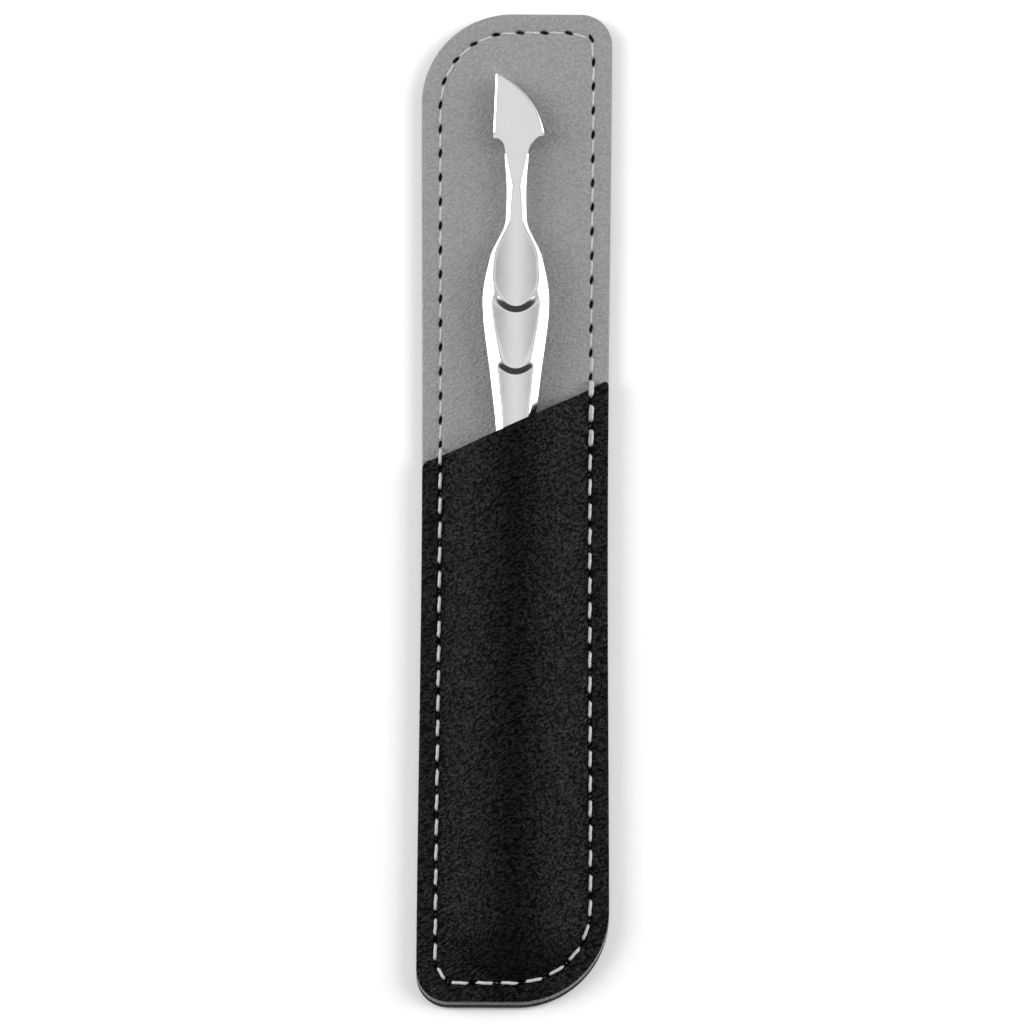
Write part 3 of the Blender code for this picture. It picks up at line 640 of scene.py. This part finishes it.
def upper_thread():
    def face_of(k):
        return POCKET_TOP if COVERED[k] else PANEL_TOP

    def lie_of(n, k):
        following = (k + 1) % HOLE_COUNT
        again = n >= HOLE_COUNT
        height, aside, sag = face_of(k) + POCKET_LIE, 0.0, 0.0
        if not COVERED[k] and not COVERED[following]:
            height, sag = PANEL_TOP - PANEL_SINK, PANEL_SAG
        if COVERED[k] != COVERED[following]:
            height = POCKET_TOP + MOUTH_LIE
        if again:
            height, aside = height + BACKTACK_RISE, -BACKTACK_ASIDE
        return height, aside, sag

    def radius_of(k):
        following = (k + 1) % HOLE_COUNT
        return THREAD_RADIUS if COVERED[k] or COVERED[following] else SUNK_RADIUS

    indices = [k % HOLE_COUNT for k in range(-BACKTACK_BEFORE, HOLE_COUNT + BACKTACK_AFTER)]
    path, radii, turns = stitch_line(indices, lie_of, face_of, radius_of)
    return twisted_tube("seam_thread", path, radii, turns, False)


def lower_thread():
    path, radii, turns = stitch_line(
        range(HOLE_COUNT),
        lambda n, k: (cover_low.z + BACK_LIE, 0.0, 0.0),
        lambda k: cover_low.z + BACK_DIVE + DIVE,
        lambda k: THREAD_RADIUS,
    )
    return twisted_tube("bobbin_thread", path, radii, turns, True)


# ---------------------------------------------------------------- pusher

# Every length here is in millimetres, and places along the pusher are distances from the blade's tip.
TOOL_LENGTH = 123.5
TIP_INSET = 0.1  # from the tip to the first solid row
PUSHER_CLEARANCE = 0.1  # under the handle
TIP_Y = pusher_high.y + TIP_INSET * MM
AXIS_Z = (pusher_high.z + PANEL_TOP + PUSHER_CLEARANCE * MM) / 2
NECK_START = 11.1
BLADE_END = 9.05
BLADE_HALF = 0.50
BLADE_RISE = 0.077
BLADE_EDGE = 0.40
CUTTING_BEVEL = 0.24
BEVEL_END = (8.2, 8.6)
BELLY_RADIUS = 10.9
BELLY_CENTRE = (-6.93, 10.13)
BELLY_END = 8.6
LEFT_EDGE = ((0.0, BLADE_END), (-2.91, -3.27))
LEFT_BARB = ((BLADE_END, 9.6, 10.4, NECK_START), (-2.47, -1.94, -1.66, -1.6))
RIGHT_BARB = ((BELLY_END, 8.73, 9.37, 10.2, NECK_START), (3.86, 3.15, 2.41, 1.82, 1.6))
WIDTHS = (
    (NECK_START, 16.5, 20.3, 21.5, 22.6, 25.7, 31.7, 42.8, 50.2, 61.75),
    (1.6, 1.34, 1.44, 1.72, 2.24, 3.6, 4.58, 3.4, 2.6, 2.1),
)
DEPTHS = (
    (NECK_START, 15.0, 20.5, 25.7, 31.7, 40.7, 48.5, 61.75),
    (1.4, 1.3, 1.25, 2.2, 2.8, 2.4, 2.05, 1.75),
)
SIDES = (
    (NECK_START, 16.5, 20.5, 25.7, 31.7, 40.7, 48.5, 61.75),
    (0.66, 0.45, 0.45, 0.92, 1.0, 0.86, 0.74, 0.63),
)
SHOULDER_SLOPE = 0.88
CROWN_DROP = 0.75
HOLLOW = 0.030
HOLLOW_START, HOLLOW_END = 14.0, 24.0
CHANNEL_BOTTOM, CHANNEL_HALF = 19.5, 0.82
SCOOP_RATE, CHANNEL_RATE = 0.0095, 0.015
FIRST_HEIGHT = 2.5
SECOND_LEVEL = (32.4, 1.66, 0.050)
THIRD_LEVEL = (61.75, 1.12, -0.022)
FIRST_PETAL = (26.7, 3.1, 5.85, 2.0)
SECOND_PETAL = (33.0, 3.9, 8.15, 2.0)
PETAL_WALL = 1.0
WALL_SPREAD = 0.9  # how much wider a petal's wall is at its sides
SOFTEN = 0.26  # the round between two faces
GROUND_SOFTEN = 0.05  # and between two ground ones
SPOON = 15.0
SPOON_WIDE = 3.2
SPOON_HALF = 0.36
SPOON_HOLLOW = 0.16
SPOON_BEND = 24.0
VISIBLE_STEP, HIDDEN_ROW_STEP = 0.13, 0.5
FIRST_ROW = 0.02
LAST_ROWS = (0.45, 0.3, 0.2, 0.1, 0.04, 0.01)  # from the spoon's end
BARB_ROWS = (BELLY_END - 0.01, BELLY_END + 0.04, BELLY_END + 0.08, BLADE_END - 0.01, BLADE_END + 0.01)
FRONT_COLUMNS, BACK_COLUMNS = 100, 36


def through(stations, at):
    """A smooth curve through stations that never overshoots them."""
    xs, ys = (np.array(v, float) for v in stations)
    slopes = np.diff(ys) / np.diff(xs)
    tangents = np.zeros(len(xs))
    for k in range(1, len(xs) - 1):
        a, b = slopes[k - 1], slopes[k]
        tangents[k] = 0 if a * b <= 0 else 2 * a * b / (a + b)
    at = np.clip(at, xs[0], xs[-1])
    k = np.clip(np.searchsorted(xs, at, side="right") - 1, 0, len(xs) - 2)
    span = xs[k + 1] - xs[k]
    t = (at - xs[k]) / span
    return (
        (2 * t**3 - 3 * t**2 + 1) * ys[k]
        + (t**3 - 2 * t**2 + t) * span * tangents[k]
        + (3 * t**2 - 2 * t**3) * ys[k + 1]
        + (t**3 - t**2) * span * tangents[k + 1]
    )


def soft_min(a, b, reach=SOFTEN):
    """The lower of two heights, with the edge between them rounded."""
    share = np.clip(0.5 + (b - a) / (2 * reach), 0, 1)
    return b + (a - b) * share - reach * share * (1 - share)


def outside_petal(x, at, petal):
    """How far down a petal's wall points are, from 0 at its top to 1 at its foot."""
    centre, half_width, reach, power = petal
    u, v = np.abs(x) / half_width, np.maximum(at - centre, 0) / reach
    size = np.maximum((u**power + v**power) ** (1 / power), 1e-6)
    return (size - 1) * np.hypot(u * half_width, v * reach) / size / (PETAL_WALL * (1 + WALL_SPREAD * u**2))


def ground_height(x, at):
    """The height of the faces ground on the front of the pusher's upper half."""
    blade = BLADE_HALF + BLADE_RISE * np.maximum(at - BLADE_END, 0)
    rate = np.where(at > CHANNEL_BOTTOM, SCOOP_RATE, CHANNEL_RATE)
    first = soft_min(blade, CHANNEL_HALF + rate * (at - CHANNEL_BOTTOM) ** 2, GROUND_SOFTEN)
    first = soft_min(first, FIRST_HEIGHT, GROUND_SOFTEN)
    second = SECOND_LEVEL[1] + SECOND_LEVEL[2] * (at - SECOND_LEVEL[0])
    third = THIRD_LEVEL[1] + THIRD_LEVEL[2] * (at - THIRD_LEVEL[0])
    lower = second + (third - second) * smooth_step(outside_petal(x, at, SECOND_PETAL))
    hollow = HOLLOW * x**2 * smooth_step((at - HOLLOW_START) / (HOLLOW_END - HOLLOW_START))
    return first + (lower - first) * smooth_step(outside_petal(x, at, FIRST_PETAL)) + hollow


def bar_height(x, half_width, depth, side):
    """The bar's own surface: a crown, slanting shoulders and flat sides."""
    crown = depth * np.sqrt(1 - CROWN_DROP * np.clip(x / half_width, -1, 1) ** 2)
    return soft_min(crown, side + SHOULDER_SLOPE * (half_width - np.abs(x)), SOFTEN)


def tool_half(across, at, drop_total):
    """(x, z) of one face of the pusher. across runs from 1 to -1 and at along it."""
    from_end = TOOL_LENGTH - at
    mirrored = np.maximum(np.minimum(at, from_end), NECK_START)
    left = np.where(at <= BLADE_END, np.interp(at, *LEFT_EDGE), through(LEFT_BARB, at))
    belly = BELLY_CENTRE[0] + np.sqrt(np.maximum(BELLY_RADIUS**2 - (BELLY_CENTRE[1] - at) ** 2, 0))
    right = np.where(at <= BELLY_END, belly, through(RIGHT_BARB, at))
    blade_x = (left + right) / 2 + (right - left) / 2 * across
    flat = ground_height(0 * blade_x, at)
    edge = np.minimum(blade_x - left, right - blade_x)
    bevel = BLADE_EDGE + (BLADE_HALF - BLADE_EDGE) / CUTTING_BEVEL * edge
    kept = smooth_step((at - BEVEL_END[0]) / (BEVEL_END[1] - BEVEL_END[0]))
    blade_z = soft_min(flat, bevel, GROUND_SOFTEN)
    blade_z = blade_z + (flat - blade_z) * kept
    half_width, depth, side = through(WIDTHS, mirrored), through(DEPTHS, mirrored), through(SIDES, mirrored)
    neck = float(through(WIDTHS, np.array([SPOON]))[0])
    widening = smooth_step((from_end - SPOON_WIDE) / (SPOON - SPOON_WIDE))
    tip = np.sqrt(np.maximum(SPOON_WIDE**2 - (SPOON_WIDE - from_end) ** 2, 0))
    spoon_width = np.where(from_end < SPOON_WIDE, tip, SPOON_WIDE + (neck - SPOON_WIDE) * widening)
    x = np.where(from_end < SPOON, spoon_width, half_width) * across
    z = soft_min(bar_height(x, half_width, depth, side), ground_height(x, mirrored))
    neck_at = SPOON + 0 * at
    neck_bar = bar_height(neck * across, neck, through(DEPTHS, neck_at), through(SIDES, neck_at))
    neck_z = soft_min(neck_bar, ground_height(neck * across, neck_at))
    z = np.where(from_end < SPOON, SPOON_HALF + (neck_z - SPOON_HALF) * widening**2, z)
    x, z = np.where(at < NECK_START, blade_x, x), np.where(at < NECK_START, blade_z, z)
    hollow = SPOON_HOLLOW * smooth_step((SPOON - from_end) / SPOON) * (1 - across**2)
    drop = drop_total * smooth_step((at - (TOOL_LENGTH - SPOON_BEND)) / SPOON_BEND)
    return x, z, hollow, drop


def pusher_tool():
    half = TOOL_LENGTH / 2
    at = np.concatenate([
        np.arange(FIRST_ROW, half, VISIBLE_STEP),
        np.arange(half, TOOL_LENGTH - 0.5, HIDDEN_ROW_STEP),
        TOOL_LENGTH - np.array(LAST_ROWS),
        BARB_ROWS,
    ])
    at = np.unique(np.round(at, 4))[:, None]
    deepest = (AXIS_Z - PANEL_TOP) / MM - PUSHER_CLEARANCE
    drop_total = deepest - SPOON_HALF
    across = np.cos(np.linspace(0, np.pi, FRONT_COLUMNS + 1))[None, :]
    x, z, hollow, drop = tool_half(across, at, drop_total)
    front = np.stack([x * MM, TIP_Y - at * MM + 0 * x, AXIS_Z + (z - hollow - drop) * MM], -1)
    across = np.cos(np.linspace(np.pi, 0, BACK_COLUMNS + 1))[None, :]
    x, z, hollow, drop = tool_half(across, at, drop_total)
    back = np.stack([x * MM, TIP_Y - at * MM + 0 * x, AXIS_Z - (z + drop) * MM], -1)
    points = np.concatenate([front, back], axis=1)
    rows, around = points.shape[:2]
    index = np.arange(rows * around).reshape(rows, around)
    turned = np.roll(index, -1, axis=1)
    faces = np.stack([index[:-1], turned[:-1], turned[1:], index[1:]], -1).reshape(-1, 4).tolist()
    faces += [tuple(index[0][::-1]), tuple(index[-1])]
    return mesh_object("pusher_steel", points.reshape(-1, 3), faces, PUSHER_SHARP)


# ---------------------------------------------------------------- stage


FLOOR_SIZE = 3.0
FLOOR_GAP = 0.05 * MM


def build_stage():
    bpy.ops.mesh.primitive_plane_add(size=FLOOR_SIZE, location=(0, 0, cad_low.z - FLOOR_GAP))
    floor = bpy.context.object
    floor.name = "floor"
    n = Nodes("pale_floor")
    n.set("Base Color", (0.97, 0.97, 0.97, 1))
    n.set("Roughness", 0.9)
    n.set("Specular IOR Level", 0.1)
    floor.data.materials.append(n.material)


def area_light(name, place, size, power):
    data = bpy.data.lights.new(name, "AREA")
    data.shape = "RECTANGLE"
    data.size, data.size_y = size
    data.energy = power
    light = bpy.data.objects.new(name, data)
    light.location = place
    light.rotation_euler = (-Vector(place)).to_track_quat("-Z", "Y").to_euler()
    bpy.context.scene.collection.objects.link(light)


def ramp(tree, value, stops):
    """A socket that follows (value, result) stops."""
    node = tree.nodes.new("ShaderNodeValToRGB")
    elements = node.color_ramp.elements
    while len(elements) < len(stops):
        elements.new(1.0)
    for element, (at, result) in zip(elements, stops):
        element.position = at
        element.color = (result, result, result, 1)
    tree.links.new(value, node.inputs[0])
    return node.outputs[0]


LIGHT_POWER = 2.4
LIGHT_SIZE = (0.3, 0.6)
STUDIO_BRIGHTNESS = 1.6
SIDE_TONES = ((0.0, 0.50), (0.06, 0.49), (0.18, 0.38), (0.32, 0.26), (0.52, 0.28), (0.80, 0.95), (1.0, 0.95))
DARK_TONE = 0.03
DARK_START, DARK_END = -0.26, -0.46


def build_lights():
    """Even white light: a softer top, bright low sides, and a dark stretch beyond the foot."""
    world = bpy.data.worlds.new("studio")
    bpy.context.scene.world = world
    world.use_nodes = True
    tree = world.node_tree
    place = tree.nodes.new("ShaderNodeTexCoord")
    split = tree.nodes.new("ShaderNodeSeparateXYZ")
    tree.links.new(place.outputs["Generated"], split.inputs[0])
    aside = tree.nodes.new("ShaderNodeMath")
    aside.operation = "ABSOLUTE"
    tree.links.new(split.outputs[0], aside.inputs[0])
    sides = ramp(tree, aside.outputs[0], SIDE_TONES)
    foot = tree.nodes.new("ShaderNodeMapRange")
    for socket, value in ((1, DARK_START), (2, DARK_END), (3, 0.0), (4, 1.0)):
        foot.inputs[socket].default_value = value
    tree.links.new(split.outputs[1], foot.inputs[0])
    mix = tree.nodes.new("ShaderNodeMix")
    tree.links.new(foot.outputs[0], mix.inputs[0])
    tree.links.new(sides, mix.inputs[2])
    mix.inputs[3].default_value = DARK_TONE
    strength = tree.nodes.new("ShaderNodeMath")
    strength.operation = "MULTIPLY"
    strength.inputs[1].default_value = STUDIO_BRIGHTNESS
    tree.links.new(mix.outputs[0], strength.inputs[0])
    back = tree.nodes["Background"]
    back.inputs["Color"].default_value = (1, 1, 1, 1)
    tree.links.new(strength.outputs[0], back.inputs["Strength"])
    area_light("left_light", (-0.5, 0.1, 0.35), LIGHT_SIZE, LIGHT_POWER)
    area_light("right_light", (0.5, 0.1, 0.35), LIGHT_SIZE, LIGHT_POWER)


CAMERA_DISTANCE = 0.592
CAMERA_ELEVATION = math.radians(86.5)
CAMERA_ROLL = math.radians(0.28)
CAMERA_TARGET = (-0.0004, -0.0006, 0.002)
CAMERA_LENS, CAMERA_SENSOR = 150, 36  # millimetres


def build_camera():
    data = bpy.data.cameras.new("camera")
    data.lens = CAMERA_LENS
    data.sensor_width = CAMERA_SENSOR
    data.clip_start, data.clip_end = 0.01, 10
    camera = bpy.data.objects.new("camera", data)
    offset = Vector((0, -math.cos(CAMERA_ELEVATION), math.sin(CAMERA_ELEVATION))) * CAMERA_DISTANCE
    camera.location = Vector(CAMERA_TARGET) + offset
    facing = (-offset).to_track_quat("-Z", "Y").to_matrix().to_4x4()
    camera.rotation_euler = (facing @ Matrix.Rotation(CAMERA_ROLL, 4, "Z")).to_euler()
    bpy.context.scene.collection.objects.link(camera)
    bpy.context.scene.camera = camera


# ---------------------------------------------------------------- assembly

build_camera()
build_stage()
build_lights()
bpy.context.scene.view_settings.view_transform = "Standard"

# In each leather below, dark and light are the painted crease shade and crest highlight of its relief, and
# hole is the painted shade in its stitch holes.
black = leather(
    "black_leather",
    dark=(0.0008, 0.0008, 0.0009),
    light=(0.0090, 0.0090, 0.0097),
    grain=0.62 * MM,
    height=0.30 * MM,
    roughness=0.38,
    specular=0.16,
    crown=0.35,
    edge=(0.030, 0.030, 0.031),
    hole=(0.0015, 0.0015, 0.0015),
)
back_black = leather(
    "cover_leather",
    dark=(0.030, 0.030, 0.031),
    light=(0.055, 0.055, 0.057),
    grain=0.55 * MM,
    height=0.10 * MM,
    roughness=0.5,
    specular=0.4,
    edge=(0.060, 0.060, 0.062),
    hole=(0.004, 0.004, 0.004),
)
grey = leather(
    "grey_leather",
    dark=(0.238, 0.240, 0.242),
    light=(0.292, 0.294, 0.296),
    grain=0.55 * MM,
    height=0.12 * MM,
    roughness=0.55,
    specular=0.35,
    edge=(0.17, 0.17, 0.175),
    hole=(0.006, 0.006, 0.006),
)
thread = thread_material()
steel = steel_material()

cover, panel, pocket = back_cover(), inner_panel(), front_pocket()
made = (
    (cover, "back_cover", "back_leather", back_black, "sleeve"),
    (panel, "inner_panel", "grey_leather", grey, "sleeve"),
    (pocket, "front_pocket", "front_leather", black, "sleeve"),
    (upper_thread(), "upper_thread", "thread", thread, "sleeve"),
    (lower_thread(), "lower_thread", "thread", thread, "sleeve"),
    (pusher_tool(), "pusher", "steel", steel, "pusher"),
)
for piece, node, slot, finish, body in made:
    piece.data.materials.append(finish)
    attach(piece, body)
    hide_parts(node)
